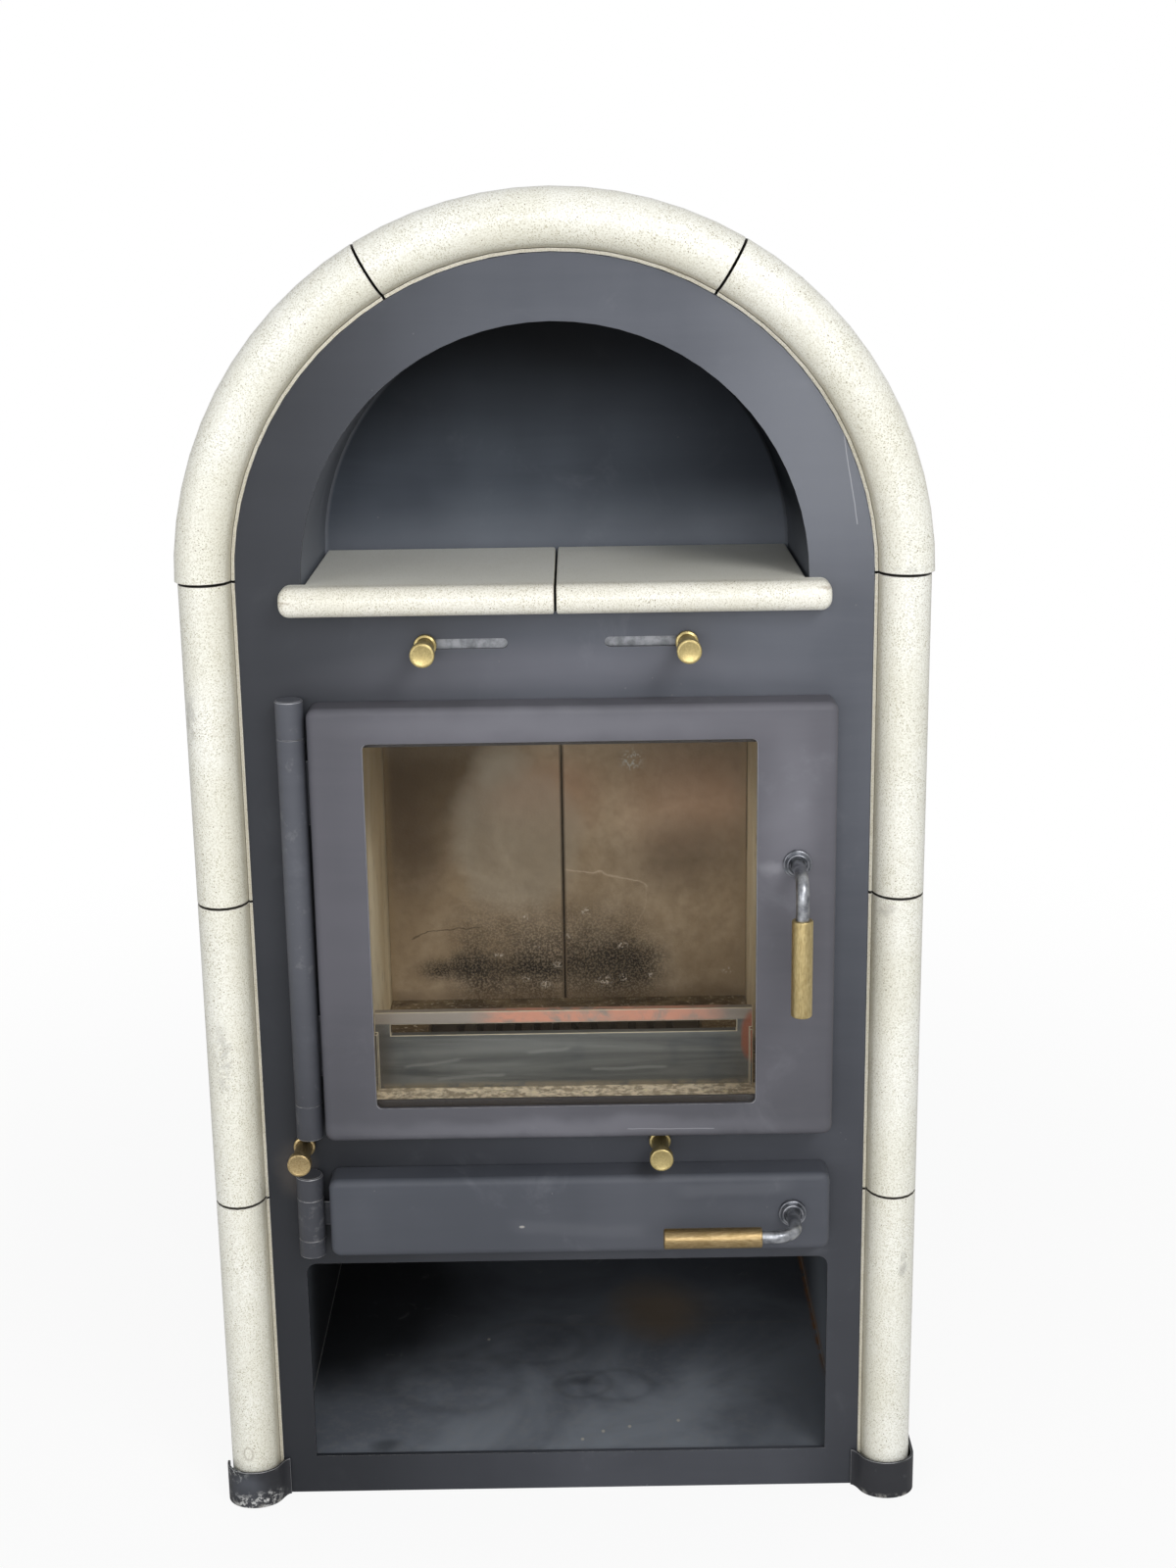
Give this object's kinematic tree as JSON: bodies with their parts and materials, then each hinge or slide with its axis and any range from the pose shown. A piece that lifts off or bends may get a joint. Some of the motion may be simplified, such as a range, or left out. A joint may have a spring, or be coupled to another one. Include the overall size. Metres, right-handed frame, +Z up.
{
  "type": "tiled wood stove",
  "caption": "Free-standing wood stove with a round-topped tile surround, a warming niche with a tiled shelf, a glazed fire door, an ash door and a wood store below.",
  "frame": {"origin": "on the floor, in the middle of the stove's width and depth, handles and flue collar included", "axes": "+Z up, +X to the right of someone facing the stove, +Y from the front into the stove; metres"},
  "size_m": [0.681, 0.5774, 1.256],
  "materials": {
    "plate_paint": "satin anthracite heat-proof paint",
    "door_paint": "satin anthracite heat-proof paint",
    "inner_steel": "dark heat-proof paint, hidden or sooty sheet",
    "cream_glaze": "glossy cream glaze with fine brown specks",
    "aged_brass": "brushed, aged",
    "gunmetal": "worn dark steel",
    "firebrick": "matt, sooty",
    "grate_iron": "rough, sooty",
    "heat_blued_steel": "heat-stained",
    "glass": "clear fire glass, lightly smoked",
    "seal_rope": "woven glass-fibre rope",
    "zinc_sheet": "zinc-coated sheet"
  },
  "bodies": {
    "stove": {"front_plate": "plate_paint", "body_jacket": "inner_steel", "base_plate": "inner_steel", "foot_collar_left": "plate_paint", "foot_collar_right": "plate_paint", "rear_panel": "zinc_sheet", "side_tile_left_lower": "cream_glaze", "side_tile_left_middle": "cream_glaze", "side_tile_left_upper": "cream_glaze", "side_tile_right_lower": "cream_glaze", "side_tile_right_middle": "cream_glaze", "side_tile_right_upper": "cream_glaze", "arch_tile_right": "cream_glaze", "arch_tile_top": "cream_glaze", "arch_tile_left": "cream_glaze", "niche_liner": "plate_paint", "shelf_tile_left": "cream_glaze", "shelf_tile_right": "cream_glaze", "firebox_shell": "inner_steel", "side_brick_left": "firebrick", "side_brick_right": "firebrick", "back_brick_left": "firebrick", "back_brick_right": "firebrick", "hearth_brick": "firebrick", "baffle_plate": "firebrick", "log_guard": "heat_blued_steel", "flue_collar": "zinc_sheet", "ash_box": "inner_steel", "ash_pan": "zinc_sheet", "wood_store_liner": "plate_paint", "fire_door_pintle_top": "door_paint", "fire_door_pintle_bottom": "door_paint", "ash_door_pintle_top": "door_paint", "ash_door_pintle_bottom": "door_paint"},
    "fire_door": {"fire_door_frame": "door_paint", "door_glass": "glass", "glass_retainer_top": "inner_steel", "glass_retainer_bottom": "inner_steel", "fire_door_seal": "seal_rope", "fire_door_hinge_barrel": "door_paint", "fire_door_handle_boss": "gunmetal"},
    "fire_door_handle": {"fire_door_latch": "heat_blued_steel", "fire_door_handle_rod": "gunmetal", "fire_door_handle_grip": "aged_brass"},
    "ash_door": {"ash_door_panel": "door_paint", "ash_door_hinge_barrel": "door_paint", "ash_door_handle_boss": "gunmetal"},
    "ash_door_handle": {"ash_door_latch": "heat_blued_steel", "ash_door_handle_rod": "gunmetal", "ash_door_handle_grip": "aged_brass"},
    "left_air": {"left_air_slide": "heat_blued_steel", "left_air_knob": "aged_brass"},
    "right_air": {"right_air_slide": "heat_blued_steel", "right_air_knob": "aged_brass"},
    "primary_air": {"primary_air_rod": "heat_blued_steel", "primary_air_knob": "aged_brass"},
    "riddling": {"riddling_rod": "heat_blued_steel", "riddling_knob": "aged_brass", "grate": "grate_iron"}
  },
  "joints": [
    {"name": "fire_door_hinge", "type": "hinge", "parent": "stove", "child": "fire_door", "pos_m": [-0.2405, -0.21025, 0.603], "axis": [0, 0, -1], "range_deg": [0, 110]},
    {"name": "fire_door_handle_turn", "type": "hinge", "parent": "fire_door", "child": "fire_door_handle", "pos_m": [0.2155, -0.21325, 0.66], "axis": [0, -1, 0], "range_deg": [0, 90]},
    {"name": "ash_door_hinge", "type": "hinge", "parent": "stove", "child": "ash_door", "pos_m": [-0.2432, -0.21025, 0.309], "axis": [0, 0, -1], "range_deg": [0, 110]},
    {"name": "ash_door_handle_turn", "type": "hinge", "parent": "ash_door", "child": "ash_door_handle", "pos_m": [0.2145, -0.21325, 0.3145], "axis": [0, -1, 0], "range_deg": [0, 90]},
    {"name": "left_air_travel", "type": "slide", "parent": "stove", "child": "left_air", "axis": [1, 0, 0], "range_m": [0, 0.065]},
    {"name": "right_air_travel", "type": "slide", "parent": "stove", "child": "right_air", "axis": [-1, 0, 0], "range_m": [0, 0.065]},
    {"name": "primary_air_travel", "type": "slide", "parent": "stove", "child": "primary_air", "axis": [0, -1, 0], "range_m": [0, 0.04]},
    {"name": "riddling_travel", "type": "slide", "parent": "stove", "child": "riddling", "axis": [0, -1, 0], "range_m": [0, 0.025]}
  ]
}
